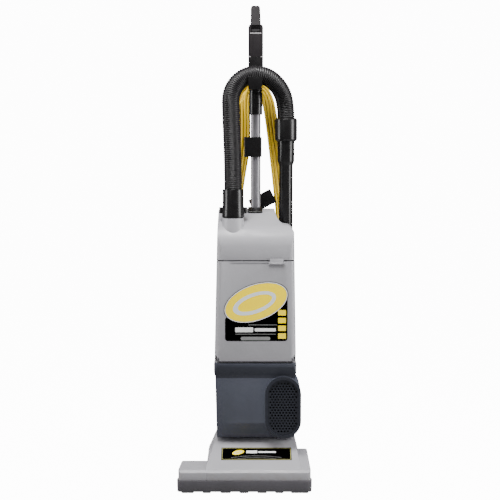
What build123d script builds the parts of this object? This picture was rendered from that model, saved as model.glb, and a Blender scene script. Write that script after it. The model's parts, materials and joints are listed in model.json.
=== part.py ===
from build123d import *
from math import atan2, cos, degrees, pi, radians, sin, sqrt, tan
import os

# Upright vacuum cleaner, in millimetres: X to the user's right hand seen from the front,
# front towards -Y, Z up from the floor. X = 0 is the middle of the cleaning head.

# ---- driving dimensions ----------------------------------------------------------------
WALL = 3.0                       # moulded wall of every casing
RUN = 0.05                       # radial clearance of a running fit

HEAD_LEFT, HEAD_RIGHT = -171.5, 171.5
HEAD_FRONT = -165.0
BUMPER_Z = (3.0, 30.0)
FEET_X = ((-158, -128), (-105, -85), (-60, -35), (-12, 10), (33, 56), (78, 98), (118, 161))
SOLE_Z = 6.0                     # underside of the sole plate
PLATE = 2.0                      # sole plate thickness
SPLIT_Z = 31.0                   # joint between chassis and cover
DECK_FRONT_Z, DECK_LEFT_Z = 57.0, 60.0
DECK_LABEL = (180.0, 48.0, 30.5)   # width, depth and middle across

BRUSH_Y, BRUSH_Z = -118.0, 26.0
BRUSH_CORE_R, BRISTLE_R = 14.0, 24.0
BRUSH_X = (-142.0, 134.0)
TUFTS, TUFT_FIRST, TUFT_PITCH = 24, -132.0, 11.13
BRUSH_PULLEY_R, MOTOR_PULLEY_R = 11.0, 7.0
BELT_X = (139.0, 149.0)
BRUSH_MOTOR_Y, BRUSH_MOTOR_Z, BRUSH_MOTOR_R = -56.0, 46.0, 25.0

WHEEL_Y, WHEEL_R, TYRE = 125.0, 40.0, 8.0
WHEEL_X = ((-73.0, -51.0), (98.0, 120.0))
AXLE_R = 4.0
ROLLER_Y, ROLLER_R = -68.0, 9.0
ROLLER_X = (-80.0, 102.0)

PIVOT_Y, PIVOT_Z, PIVOT_R = 80.0, 95.0, 8.0
EAR_X = ((-46.0, -42.0), (85.0, 89.0))
LUG_X = ((-41.5, -29.5), (72.5, 84.5))
PEDAL_Y, PEDAL_Z = 108.0, 66.0
PEDAL_X = (35.0, 75.0)

BODY_X = 27.5                    # middle of the upright body
BODY_FRONT, BODY_REAR = -80.0, 80.0
HOUSING_Z = (114.0, 314.0)       # motor housing
DOOR_Z = (320.0, 578.0)
LID_Z = (581.0, 705.0)
RECESS_X, RECESS_Y = 82.0, 35.0  # rear right corner kept free for the wand
SPLIT_Y = -41.0                  # rear edge of the bag door
HINGE_Y, HINGE_Z = -73.5, 326.0
HINGE_LUG_X = ((-71.5, -66.5), (121.5, 126.5))
LATCH_X, LATCH_Y, LATCH_Z = (65.0, 99.0), -82.6, 573.0

GRILLE_X, GRILLE_Z = (53.0, 145.5), (122.0, 282.0)
GRILLE_Y = (-97.0, -87.0)
HOLE_PITCH_X, HOLE_PITCH_Z, HOLE_R = 8.2, 6.9, 2.65

EMBLEM, EMBLEM_R, EMBLEM_TILT = (29.5, 472.5), (86.0, 47.5), 20.0
LABEL_EDGES = (-50.0, 110.0, 373.0)

FAN_X, FAN_Y = -9.0, 5.0
TUBE_X, TUBE_Y, TUBE_R = 29.0, 55.0, 13.0
PORT_X, PORT_Y, PORT_R = -29.5, -30.0, 23.5
BOSS_R, BOSS_REACH = 28.0, 8.0     # the boss below the port stands this far forward of it
WAND_X, WAND_Y, WAND_R, WAND_TOP_R = 109.5, 60.0, 18.2, 22.4
SOCKET_BOTTOM, SOCKET_TOP, WAND_BOTTOM = 445.0, 560.0, 455.0
HOSE_R = 23.5
CORD_R = 4.0
COIL_Y = (92.0, 124.0)
PLUG_X = 100.0
COIL_BUNDLE = 30.0               # width of the bundle of turns, seen from the front
SOCKET_Z = 1104.0                # top of the handle socket below the grips
RELIEF_LEAN = 35.0               # the strain relief points this far from straight down
HOOK_Z, HOOK_TILT = 715.0, 62.0   # the swivel hook is stored leaning over by this much

COIL_LOOP = [                    # middle of the wound bundle, as (x, z) points
    (11, 1026), (43, 1026), (59, 1006), (69, 962), (84, 835), (98, 715), (103, 655), (97, 627),
    (78, 618), (2, 618), (-17, 625), (-25, 652), (-26, 712), (-17, 780), (-3, 860), (-1, 930),
    (-4, 1000),
]
HOSE_ROUTE = [
    (PORT_X, PORT_Y, 741), (PORT_X, PORT_Y, 800), (-32, -28, 880), (-35, -21, 955), (-36, -9, 1015),
    (3, 4, 1055.5), (58, 16, 1055.5), (99, 43, 1017), (WAND_X, WAND_Y, 967),
    (WAND_X, WAND_Y, 931),
]


# ---- helpers ---------------------------------------------------------------------------
def block(x, y, z):
    return Pos((x[0] + x[1]) / 2, (y[0] + y[1]) / 2, (z[0] + z[1]) / 2) * Box(
        x[1] - x[0], y[1] - y[0], z[1] - z[0])


def rod_x(x, y, z, r):
    return Pos((x[0] + x[1]) / 2, y, z) * Rot(0, 90, 0) * Cylinder(r, x[1] - x[0])


def rod_y(x, y, z, r):
    return Pos(x, (y[0] + y[1]) / 2, z) * Rot(90, 0, 0) * Cylinder(r, y[1] - y[0])


def rod_z(x, y, z, r):
    return Pos(x, y, (z[0] + z[1]) / 2) * Cylinder(r, z[1] - z[0])


def pipe_z(x, y, z, outer, inner):
    return rod_z(x, y, z, outer) - rod_z(x, y, z, inner)


def outline(points, radius=0.0, inset=0.0):
    face = make_face(Polyline(*points, close=True))
    if radius:
        face = fillet(face.vertices(), radius)
    if inset:
        face = offset(face, amount=-inset, kind=Kind.INTERSECTION)
    return face


def across(points, x, radius=0.0, inset=0.0):
    """A (y, z) outline extruded along X."""
    return extrude(Pos(x[0], 0, 0) * (Plane.YZ * outline(points, radius, inset)), x[1] - x[0])


def back(points, y, radius=0.0, inset=0.0):
    """An (x, z) outline extruded along Y."""
    return extrude(Pos(0, y[1], 0) * (Plane.XZ * outline(points, radius, inset)), y[1] - y[0])


def up(points, z, radius=0.0, inset=0.0):
    """An (x, y) outline extruded along Z."""
    return extrude(Pos(0, 0, z[0]) * outline(points, radius, inset), z[1] - z[0])


def stadium(x, y, z, inset=0.0):
    """An upright stadium in the XZ plane, extruded along Y."""
    width, height = x[1] - x[0] - 2 * inset, z[1] - z[0] - 2 * inset
    face = SlotOverall(height, width, rotation=90)
    middle = Pos((x[0] + x[1]) / 2, y[1], (z[0] + z[1]) / 2)
    return extrude(middle * (Plane.XZ * face), y[1] - y[0])


def save(name, *shapes):
    shape = shapes[0] if len(shapes) == 1 else Compound(children=list(shapes))
    export_step(shape, f"parts/{name}.step")


# ---- cleaning head -----------------------------------------------------------------------
def head_shape(inset):
    """The outer form of the head above its split line, drawn in by the inset."""
    low = up([(-168, -161), (-90, -161), (-90, -80), (-162, -80)], (SPLIT_Z, 130), 9, inset)
    low &= across([(-162, 20), (-162, 50), (-155, DECK_FRONT_Z), (-78, DECK_LEFT_Z), (-78, 20)],
                  (-180, -60), 4, inset)
    side = up([(-120, -161), (168, -161), (163, -40), (-120, -40)], (SPLIT_Z, 130), 9, inset)
    side &= across([(-162, 20), (-162, 50), (-155, DECK_FRONT_Z), (-38, 82), (-38, 20)],
                   (-95 + inset, 180), 4, inset)
    middle = back([(-97, 20), (-97, 62), (-73, 114), (129, 114), (142, 62), (142, 20)],
                  (-170, 170), 6, inset)
    middle &= across([(-158, 50), (-155, DECK_FRONT_Z), (-50, 105), (-30, 112), (56, 112),
                      (56, 20), (-158, 20)], (-180, 180), 4, inset)
    middle &= block((-180, 180), (-170, 170), (SPLIT_Z, 130))
    return low + side + middle


def chassis_plan(inset):
    z = (SOLE_Z + PLATE + (WALL if inset else 0), SPLIT_Z)
    head = up([(-165, -158), (166, -158), (156, -40), (-95, -40), (-95, -80), (-158, -80)],
              z, 8, inset)
    middle = block((-90 + inset, 132 - inset), (-100, 56 - inset), z)
    tail = block((EAR_X[0][0] + inset, EAR_X[1][1] - inset), (50, 150 - inset), z)
    return head + middle + tail


def make_head():
    cover = head_shape(0) - head_shape(WALL) - block((-180, 180), (50, 200), (SPLIT_Z, 90))
    cover -= rod_z(WAND_X, WAND_Y, (SPLIT_Z, 120), 25)
    save("base_cover", cover)

    chassis = chassis_plan(0) - chassis_plan(WALL)
    chassis += block((-160, 137), (-93, -90), (SOLE_Z + PLATE, SPLIT_Z))
    for x in EAR_X:
        ear = block(x, (PIVOT_Y - 14, WHEEL_Y + 20), (10, 60))
        ear += block(x, (PIVOT_Y - 14, PIVOT_Y + 14), (20, PIVOT_Z))
        ear += rod_x(x, PIVOT_Y, PIVOT_Z, 14)
        chassis += ear
        chassis -= rod_x((x[0] - 1, x[1] + 1), PIVOT_Y, PIVOT_Z, PIVOT_R + RUN)
    for x in (PEDAL_X[0] - 5, PEDAL_X[1] + 1):
        chassis += block((x, x + 4), (PEDAL_Y - 8, PEDAL_Y + 8), (10, PEDAL_Z + 7))
    chassis -= rod_x((PEDAL_X[0] - 6, PEDAL_X[1] + 6), PEDAL_Y, PEDAL_Z, 3)
    chassis -= rod_x((-60, 110), WHEEL_Y, WHEEL_R, AXLE_R)
    chassis -= block((BRUSH_X[0] - 2, BRUSH_X[1] + 2), (BRUSH_Y - 19, BRUSH_Y + 19), (7, 12))
    chassis -= block((BELT_X[0] - 2, BELT_X[1] + 2), (-95, -89), (12, SPLIT_Z + 1))
    chassis -= block((ROLLER_X[0] - 6, ROLLER_X[1] + 22), (ROLLER_Y - 3, ROLLER_Y + 3), (7, 12))
    for x in ROLLER_X:
        chassis -= block((x - 1, x + 17), (ROLLER_Y - 10, ROLLER_Y + 10), (7, 12))
        for rib in (x - 4, x + 17):
            chassis += block((rib, rib + 3), (ROLLER_Y - 6, ROLLER_Y + 6), (8, 16))
            chassis -= rod_x((rib - 1, rib + 4), ROLLER_Y, ROLLER_R + 0.5, 2 + RUN)
    for x in ((-156, -146), (151, 159)):
        chassis -= block(x, (BRUSH_Y - 10, BRUSH_Y + 10), (11, 37))
    save("base_chassis", chassis)

    plate = up([(-160, -154), (160, -154), (152, -84), (-154, -84)], (SOLE_Z, SOLE_Z + PLATE), 6)
    slot = block((BRUSH_X[0], BRUSH_X[1]), (BRUSH_Y - 18, BRUSH_Y + 18), (0, 20))
    for i in range(4, 21, 4):
        x = TUFT_FIRST + (i + 0.5) * TUFT_PITCH
        slot -= block((x - 2, x + 2), (-150, -80), (0, 20))
    save("bottom_plate", plate - slot)

    ring = up([(HEAD_LEFT, HEAD_FRONT), (HEAD_RIGHT, HEAD_FRONT), (163, -88), (-163, -88)],
              BUMPER_Z, 12)
    ring += up([(HEAD_LEFT, -145), (HEAD_RIGHT, -145), (163, -88), (-163, -88)], BUMPER_Z, 2)
    ring -= up([(-165, -158), (166, -158), (156, -40), (-158, -40)], (0, 60), 8)
    foot_room = up([(HEAD_LEFT, HEAD_FRONT), (HEAD_RIGHT, HEAD_FRONT), (163, -88), (-163, -88)],
                   (-1, 20), 12)
    for x in FEET_X:
        ring += block(x, (-164.5, -158.5), (0, BUMPER_Z[0] + 1)) & foot_room
    front = [*curve((HEAD_LEFT, 14), (HEAD_LEFT, 0), (-161, 0)),
             *curve((161, 0), (HEAD_RIGHT, 0), (HEAD_RIGHT, 14)),
             (HEAD_RIGHT, BUMPER_Z[1]), (HEAD_LEFT, BUMPER_Z[1])]
    ring &= back(front, (-200, 0))
    save("bumper", ring)

    slope = degrees(atan2(105 - DECK_FRONT_Z, 105))
    middle_y, middle_z = -99.0, DECK_FRONT_Z + 56 * tan(radians(slope))
    label = Box(DECK_LABEL[0], DECK_LABEL[1], 0.6, align=(Align.CENTER, Align.CENTER, Align.MIN))
    save("base_label", Pos(DECK_LABEL[2], middle_y, middle_z + 0.02) * Rot(slope, 0, 0) * label)


def make_brush():
    stub = rod_x((-150, 157), BRUSH_Y, BRUSH_Z, 4)
    core = rod_x(BRUSH_X, BRUSH_Y, BRUSH_Z, BRUSH_CORE_R) + stub
    core += rod_x(BELT_X, BRUSH_Y, BRUSH_Z, BRUSH_PULLEY_R)
    tufts = []
    for row in range(2):
        for i in range(TUFTS):
            x = TUFT_FIRST + i * TUFT_PITCH
            tuft = Pos(0, 0, 10) * Cylinder(2.5, BRISTLE_R - 10,
                                            align=(Align.CENTER, Align.CENTER, Align.MIN))
            tufts.append(Pos(x, BRUSH_Y, BRUSH_Z) * Rot(180 * row + 15 * i, 0, 0) * tuft)
    for tuft in tufts:
        core -= tuft
    save("brush_roller", core)
    save("brush_bristles", *tufts)
    bearings = []
    for x in ((-156, -146), (151, 159)):
        bearing = block(x, (BRUSH_Y - 10, BRUSH_Y + 10), (11, 37))
        bearings.append(bearing - rod_x((x[0] - 1, x[1] + 1), BRUSH_Y, BRUSH_Z, 4 + RUN))
    save("roller_bearings", *bearings)

    reach = sqrt((BRUSH_MOTOR_Y - BRUSH_Y) ** 2 + (BRUSH_MOTOR_Z - BRUSH_Z) ** 2)
    lean = degrees(atan2(BRUSH_MOTOR_Z - BRUSH_Z, BRUSH_MOTOR_Y - BRUSH_Y))

    def loop(gap):
        big, small = BRUSH_PULLEY_R + gap, MOTOR_PULLEY_R + gap
        face = make_hull((Circle(big) + Pos(reach, 0) * Circle(small)).edges())
        return extrude(face, 8)

    belt = loop(2.3) - loop(0.3)
    place = Pos(BELT_X[0] + 1, BRUSH_Y, BRUSH_Z) * Rot(lean, 0, 0)
    save("drive_belt", place * (Plane.YZ * belt))

    motor = rod_x((35, 126), BRUSH_MOTOR_Y, BRUSH_MOTOR_Z, BRUSH_MOTOR_R)
    motor += block((50, 96), (-62, -40), (11, 30))
    motor -= rod_x((30, 130), BRUSH_MOTOR_Y, BRUSH_MOTOR_Z, 3 + RUN)
    save("brush_motor", motor)
    pulley = rod_x((40, 150), BRUSH_MOTOR_Y, BRUSH_MOTOR_Z, 3)
    pulley += rod_x(BELT_X, BRUSH_MOTOR_Y, BRUSH_MOTOR_Z, MOTOR_PULLEY_R)
    save("motor_pulley", pulley)


def make_running_gear():
    for side, x in zip(("left", "right"), WHEEL_X):
        tread = (x[0] + 1, x[1] - 1)
        tyre = rod_x(tread, WHEEL_Y, WHEEL_R, WHEEL_R) - rod_x(x, WHEEL_Y, WHEEL_R, WHEEL_R - TYRE)
        hub = rod_x(x, WHEEL_Y, WHEEL_R, WHEEL_R - TYRE)
        hub -= rod_x((x[0] - 1, x[1] + 1), WHEEL_Y, WHEEL_R, AXLE_R + RUN)
        for k in range(5):
            a = 2 * pi * k / 5
            hub -= rod_x((x[0] - 1, x[0] + 7), WHEEL_Y + 19 * cos(a), WHEEL_R + 19 * sin(a), 6)
            hub -= rod_x((x[1] - 7, x[1] + 1), WHEEL_Y + 19 * cos(a), WHEEL_R + 19 * sin(a), 6)
        save(f"rear_tyre_{side}", tyre)
        save(f"rear_wheel_{side}", hub)
    caps = [rod_x(x, WHEEL_Y, WHEEL_R, 7) for x in ((-77, -73.5), (120.5, 124))]
    caps = [cap - rod_x((-80, 130), WHEEL_Y, WHEEL_R, AXLE_R) for cap in caps]
    save("rear_axle", rod_x((-77, 124), WHEEL_Y, WHEEL_R, AXLE_R), *caps)
    rollers = rod_x((ROLLER_X[0] - 4, ROLLER_X[1] + 20), ROLLER_Y, ROLLER_R + 0.5, 2)
    for x in ROLLER_X:
        rollers += rod_x((x, x + 16), ROLLER_Y, ROLLER_R + 0.5, ROLLER_R)
    save("front_rollers", rollers)


def make_pedal():
    pedal = across([(PEDAL_Y - 7, PEDAL_Z - 5), (PEDAL_Y - 7, PEDAL_Z + 6), (150, 74), (164, 70),
                    (164, 66), (150, 67), (PEDAL_Y + 8, PEDAL_Z - 5)], PEDAL_X, 1.5)
    pedal -= rod_x((PEDAL_X[0] - 1, PEDAL_X[1] + 1), PEDAL_Y, PEDAL_Z, 3 + RUN)
    save("release_pedal", pedal)
    save("pedal_pin", rod_x((PEDAL_X[0] - 5, PEDAL_X[1] + 5), PEDAL_Y, PEDAL_Z, 3))
    coil = Helix(pitch=6, height=49, radius=6)
    start = Plane(origin=coil @ 0, z_dir=coil % 0)
    spring = sweep(start * Circle(0.9), path=coil, is_frenet=True)
    spring = Pos(55, 138, 12.5) * spring
    save("pedal_spring", spring)


# ---- upright body --------------------------------------------------------------------------
def body_sides(z):
    return -78 + (z - 314) * 7.5 / 317, 133 - (z - 314) * 5.5 / 317


def column(z, inset=0.0, radius=14.0, front=BODY_FRONT, rear=BODY_REAR):
    """The drafted upright body between two heights, without the wand recess."""
    faces = []
    for level in z:
        left, right = body_sides(level)
        plan = RectangleRounded(right - left - 2 * inset, rear - front - 2 * inset,
                                max(radius - inset, 1))
        faces.append(Pos((left + right) / 2, (front + rear) / 2, level) * plan)
    recess = block((RECESS_X - inset, 200), (RECESS_Y - inset, 200), (z[0] - 1, z[1] + 1))
    return loft(faces) - recess


def housing_shape(inset):
    sides = back([(-72, 114), (129, 114), (131, 280), (133.5, 292), (133.5, 314), (-79, 314),
                  (-79, 292), (-75.5, 280)], (-120, 120), 0, inset)
    profile = across([(-52, 114), (-55, 115), (-79, 157), (-79, 276), (-81, 286), (-87.5, 306),
                      (-87.5, 314), (80, 314), (80, 114)], (-100, 150), 0, inset)
    plan = up([(-80, -89), (135, -89), (135, 80), (-80, 80)], (100, 320), 16, inset)
    recess = block((RECESS_X - inset, 200), (RECESS_Y - inset, 200), (100, 330))
    return (sides & profile & plan) - recess


def make_motor_housing():
    casing = housing_shape(0) - housing_shape(WALL)
    boss = stadium(GRILLE_X, (GRILLE_Y[1] + 2, 30), GRILLE_Z)
    boss_room = stadium(GRILLE_X, (-60, 30 - WALL), GRILLE_Z, WALL)
    seat = stadium(GRILLE_X, (-90, -50), GRILLE_Z, 6)
    casing = (casing + boss) - boss_room - seat - (housing_shape(WALL) & block(
        (-200, 200), (-47, 200), (0, 400)))
    front = casing & block((-200, 200), (-200, 10), (0, 400))
    rear = casing & block((-200, 200), (10, 200), (0, 400))
    for x in LUG_X:
        lug = block(x, (PIVOT_Y - 20, PIVOT_Y), (PIVOT_Z, 116)) + rod_x(x, PIVOT_Y, PIVOT_Z, 12)
        lug &= block(x, (PIVOT_Y - 20, PIVOT_Y + 14), (80, 116))
        rear += lug - rod_x(x, PIVOT_Y, PIVOT_Z, PIVOT_R)
        rear -= rod_x(x, PIVOT_Y, PIVOT_Z, PIVOT_R)
    save("motor_housing_front", front)
    save("motor_housing_rear", rear)
    save("pivot_pins", rod_x((EAR_X[0][0], LUG_X[0][1]), PIVOT_Y, PIVOT_Z, PIVOT_R),
         rod_x((LUG_X[1][0], EAR_X[1][1]), PIVOT_Y, PIVOT_Z, PIVOT_R))

    filter_block = stadium(GRILLE_X, (-84, -62), GRILLE_Z, 8)
    for z in range(136, 274, 8):
        filter_block -= block((55, 145), (-85, -70), (z, z + 3))
    save("exhaust_filter", filter_block)

    rim = stadium(GRILLE_X, GRILLE_Y, GRILLE_Z) - stadium(GRILLE_X, (-98, -90), GRILLE_Z, 7)
    rim -= stadium(GRILLE_X, (-91, -86), GRILLE_Z, 10)
    middle = ((GRILLE_X[0] + GRILLE_X[1]) / 2, (GRILLE_Z[0] + GRILLE_Z[1]) / 2)
    half = ((GRILLE_X[1] - GRILLE_X[0]) / 2 - 9, (GRILLE_Z[1] - GRILLE_Z[0]) / 2 - 9)
    holes = []
    for row in range(-11, 12):
        for col in range(-6, 7):
            x = (col + 0.5 * (row % 2)) * HOLE_PITCH_X
            z = row * HOLE_PITCH_Z
            straight = half[1] - half[0]
            beyond = max(abs(z) - straight, 0)
            if sqrt(x * x + beyond * beyond) < half[0] - HOLE_R:
                holes.append(Pos(x, z) * Circle(HOLE_R))
    sheet = SlotOverall(2 * half[1], 2 * half[0], rotation=90) - holes
    mesh = extrude(Pos(middle[0], -91, middle[1]) * (Plane.XZ * sheet), 2)
    band = stadium(GRILLE_X, (-93, -91), GRILLE_Z, 7) - stadium(GRILLE_X, (-94, -90), GRILLE_Z, 9)
    save("filter_cover", rim + band + mesh)


def make_fan():
    can = pipe_z(FAN_X, FAN_Y, (126, 222), 50, 47) + pipe_z(FAN_X, FAN_Y, (122, 126), 50, 5.5)
    save("suction_motor", can)
    rotor = rod_z(FAN_X, FAN_Y, (119, 262), 4) + rod_z(FAN_X, FAN_Y, (140, 208), 26)
    rotor += pipe_z(FAN_X, FAN_Y, (158, 190), 27, 20)
    save("motor_rotor", rotor)
    disc = pipe_z(FAN_X, FAN_Y, (236, 239), 54, 4)
    hub = pipe_z(FAN_X, FAN_Y, (239, 256), 10, 4)
    wheel = disc + hub
    for k in range(9):
        blade = Pos(30, 0, 246) * Rot(0, 0, 28) * Box(44, 1.6, 14)
        wheel += Pos(FAN_X, FAN_Y, 0) * Rot(0, 0, 40 * k) * blade
    save("fan_impeller", wheel)
    shroud = pipe_z(FAN_X, FAN_Y, (228, 264), 61, 58) + pipe_z(FAN_X, FAN_Y, (264, 267), 61, 24)
    shroud += pipe_z(FAN_X, FAN_Y, (225, 228), 61, 20)
    save("fan_shroud", shroud)


def make_bag_housing():
    z = (314.0, LID_Z[0])
    outer = column(z)
    inner = column((z[0] + WALL, z[1] + 1), WALL)
    shell = outer - inner
    rear = shell & block((-200, 200), (SPLIT_Y + 1, 200), (0, 900))
    floor = column((z[0], z[0] + WALL)) & block((-200, 200), (-70, 200), (0, 900))
    rear += floor
    pins = []
    door = shell & block((-200, 200), (-200, SPLIT_Y), DOOR_Z)
    for x in HINGE_LUG_X:
        lug = block(x, (HINGE_Y, -66), (z[0] + WALL, HINGE_Z)) + rod_x(x, HINGE_Y, HINGE_Z, 3)
        rear += lug + block(x, (-72, -60), (z[0], z[0] + WALL))
        rear -= rod_x((x[0] - 1, x[1] + 1), HINGE_Y, HINGE_Z, 2)
        outer_edge = (x[0] - 12, x[1] + 0.8) if x[0] < 0 else (x[0] - 0.8, x[1] + 12)
        door -= block(outer_edge, (-90, -55), (DOOR_Z[0] - 1, HINGE_Z + 3))
        door -= rod_y(outer_edge[0] + 5 if x[0] < 0 else outer_edge[1] - 5, (-90, -55),
                      HINGE_Z + 3, 7.8)
        knuckle = (x[1] + 1.3, x[1] + 14) if x[0] < 0 else (x[0] - 14, x[0] - 1.3)
        arm = rod_x(knuckle, HINGE_Y, HINGE_Z, 3.4)
        door += arm + block(knuckle, (-78, HINGE_Y), (HINGE_Z - 3, HINGE_Z + 3))
        door -= rod_x((knuckle[0] - 1, knuckle[1] + 1), HINGE_Y, HINGE_Z, 2 + RUN)
        pins.append(rod_x((min(x[0], knuckle[0]), max(x[1], knuckle[1])), HINGE_Y, HINGE_Z, 2))
    for x in (LATCH_X[0] - 3, LATCH_X[1] + 0.5):
        door += block((x, x + 2.5), (LATCH_Y - 2, -79), (LATCH_Z - 3, LATCH_Z + 3))
    door -= rod_x((LATCH_X[0] - 5, LATCH_X[1] + 5), LATCH_Y, LATCH_Z, 1 + RUN)
    for z_clip in (330, 480):
        clip = block((RECESS_X, 134), (RECESS_Y, WAND_Y), (z_clip, z_clip + 14))
        rear += clip - rod_z(WAND_X, WAND_Y, (z_clip - 1, z_clip + 15), 21.3)
    save("bag_housing", rear)
    save("bag_door", door)
    save("hinge_pins", *pins)
    latch = block(LATCH_X, (LATCH_Y - 1, LATCH_Y + 1), (LATCH_Z - 3.5, LATCH_Z + 12))
    latch += rod_x(LATCH_X, LATCH_Y, LATCH_Z, 1.9)
    save("door_latch", latch + rod_x((LATCH_X[0] - 3, LATCH_X[1] + 3), LATCH_Y, LATCH_Z, 1))
    emblem = Pos(*EMBLEM) * Rot(0, 0, EMBLEM_TILT) * Ellipse(*EMBLEM_R)
    left, right, low = LABEL_EDGES
    panel = outline([(left, low), (right, low), (right, EMBLEM[1] + 18), (left, EMBLEM[1] - 40)], 8)
    label = extrude(emblem + panel, 0.6)
    save("front_label", Pos(0, BODY_FRONT - 0.02, 0) * Rot(90, 0, 0) * label)
    bag = block((-62, 76), (-64, 62), (338, 556)) + block((-62, 116), (-64, 28), (338, 556))
    bag = fillet(bag.edges().filter_by(Axis.Z), 10)
    save("filter_bag", bag)
    collar = block((-66, 2), (-62, 6), (558, 562)) - rod_z(PORT_X, PORT_Y, (550, 570), 20)
    save("bag_collar", collar)


def curve(start, control, end, steps=6):
    """Points of a smooth bend from one point to another, pulled towards the control point."""
    return [tuple((1 - t) ** 2 * a + 2 * t * (1 - t) * b + t * t * c
                  for a, b, c in zip(start, control, end))
            for t in (k / steps for k in range(steps + 1))]


def lid_shape(inset):
    form = column((LID_Z[0] - (1 if inset else 0), 712), inset)
    form &= back([(-90, 560), (-90, 697), *curve((-75, 697), (-71, 705), (-60, 705)), (76, 705),
                  *curve((79, 705), (84, 676), (100, 669)),
                  *curve((108, 668), (122, 668), (130, 645)), (140, 620), (140, 560)],
                 (-100, 100), 0, inset)
    form &= across([(-90, 560), (-84, 600), *curve((-80.5, 614), (-75, 655), (-36, 673)),
                    *curve((-24, 679), (14, 704), (40, 705)), (90, 705), (90, 560)],
                   (-100, 150), 0, inset)
    return form


def make_lid():
    lid = lid_shape(0) + rod_z(PORT_X, PORT_Y - BOSS_REACH, (600, 686), BOSS_R)
    lid -= lid_shape(WALL)
    lid += pipe_z(PORT_X, PORT_Y, (562, 686), PORT_R, PORT_R - WALL)
    lid -= rod_z(PORT_X, PORT_Y, (560, 700), PORT_R - WALL)
    lid -= rod_z(PORT_X, PORT_Y, (686, 720), 29)
    socket = block((TUBE_X - 20, TUBE_X + 20), (TUBE_Y - 20, 78), (590, 650))
    lid += socket - rod_z(TUBE_X, TUBE_Y, (596, 700), TUBE_R + RUN)
    lid -= rod_z(TUBE_X, TUBE_Y, (640, 720), TUBE_R + RUN)
    for x in (-20, 60):
        lid -= rod_y(x, (70, 90), 648, 3)
    save("lid", lid)
    collar = up([(8.5, 6), (46.5, 6), (46.5, 76), (8.5, 76)], (685, 710), 4)
    collar &= across([(6, 600), (6, 700), (22, 710), (80, 710), (80, 600)], (0, 60))
    collar -= lid_shape(0) + rod_z(TUBE_X, TUBE_Y, (680, 720), TUBE_R + RUN)
    save("tube_collar", collar)


def make_duct():
    y = WAND_Y
    pipe = pipe_z(WAND_X, y, (128, SOCKET_BOTTOM), 20, 17)
    pipe += pipe_z(WAND_X, y, (SOCKET_BOTTOM, SOCKET_TOP), 21, WAND_R + 0.3)
    save("duct_pipe", pipe)
    floor_duct = pipe_z(WAND_X, y, (60, 92), 17, 15)
    save("floor_duct", floor_duct + block((91, 124), (20, 78), (SPLIT_Z + 1, 60)))
    save("duct_bellows", pipe_z(WAND_X, y, (92, 128), 18, 15))


# ---- handle --------------------------------------------------------------------------------
def make_handle():
    save("handle_tube", pipe_z(TUBE_X, TUBE_Y, (596, 1110), TUBE_R, TUBE_R - 1.5))
    clamp = block((-1.5, 45), (37, 74), (843, 895))
    clamp = fillet(clamp.edges().filter_by(Axis.Z), 4)
    clamp -= rod_z(TUBE_X, TUBE_Y, (840, 900), TUBE_R + RUN)
    split = block((-5, 10), (54.5, 55.5), (840, 900))
    save("tube_clamp", clamp - split)
    save("handle_sleeve", pipe_z(TUBE_X, TUBE_Y, (954, 984), 17.7, TUBE_R + RUN))

    hook = rod_z(TUBE_X, TUBE_Y, (1012, 1032), 17)
    hook += block((11, 44), (-18, TUBE_Y), (1016, 1030))
    hook += block((10, 45), (-23, -18), (1016, 1048))

    arm = block((22, 36), (70, 130), (993, 1006)) + block((15, 43), (125, 130), (993, 1046))
    arm += rod_z(TUBE_X, TUBE_Y, (984, 1011.5), 17.9)
    arm -= rod_z(TUBE_X, TUBE_Y, (980, 1020), TUBE_R + RUN)
    save("upper_cord_hook", arm)

    grip_x = (TUBE_X - 19.5, TUBE_X + 19.5)
    loop = across([(41, 1031), (41, 1184), (52, 1238), (92, 1238), (140, 1205), (150, 1150),
                   (134, 1092), (100, 1072), (78, 1050), (72, 1031)], grip_x, 5)
    gap = across([(76, 1102), (76, 1178), (88, 1208), (116, 1190), (122, 1150), (112, 1112),
                  (94, 1102)], (0, 60), 7)
    loop -= gap
    left, right = grip_x
    loop &= back([(left, 1000), (right, 1000), (right, 1180), (right - 2, 1186), (42.6, 1188),
                  (40.8, 1226), *curve((40.6, 1230), (40.2, 1238), (33, 1238)),
                  *curve((24, 1238), (16.4, 1238), (16, 1230)), (15.8, 1226), (15.2, 1188),
                  (left + 2, 1186), (left, 1180)], (0, 200))
    loop -= rod_z(TUBE_X, TUBE_Y, (1000, 1110), TUBE_R + RUN)
    loop -= block((TUBE_X - 12, TUBE_X + 12), (30, 52), (1166, 1186))
    loop -= rod_x((TUBE_X - 15.5, TUBE_X + 15.5), 47, 1176, 1.5 + RUN)
    socket = block((0, 60), (0, 74), (1030, SOCKET_Z))
    hook += loop & socket
    save("hose_hook", hook - rod_z(TUBE_X, TUBE_Y, (1000, 1110), TUBE_R + RUN))
    loop -= block((0, 60), (0, 74.3), (1030, SOCKET_Z + 0.3))
    save("grip_left", loop & block((0, TUBE_X), (0, 200), (1000, 1300)))
    save("grip_right", loop & block((TUBE_X, 60), (0, 200), (1000, 1300)))
    rocker_x = (TUBE_X - 11, TUBE_X + 11)
    rocker = across([(39, 1169), (43, 1176), (39, 1183), (47, 1183), (47, 1169)], rocker_x)
    rocker += rod_x(rocker_x, 47, 1176, 4) + rod_x((TUBE_X - 15, TUBE_X + 15), 47, 1176, 1.5)
    save("power_switch", rocker)
    relief = Cone(8, 5, 34, align=(Align.CENTER, Align.CENTER, Align.MIN))
    relief = Pos(TUBE_X, 108, 1073) * Rot(0, 180 - RELIEF_LEAN, 0) * relief
    save("strain_relief", relief - loop)


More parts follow.
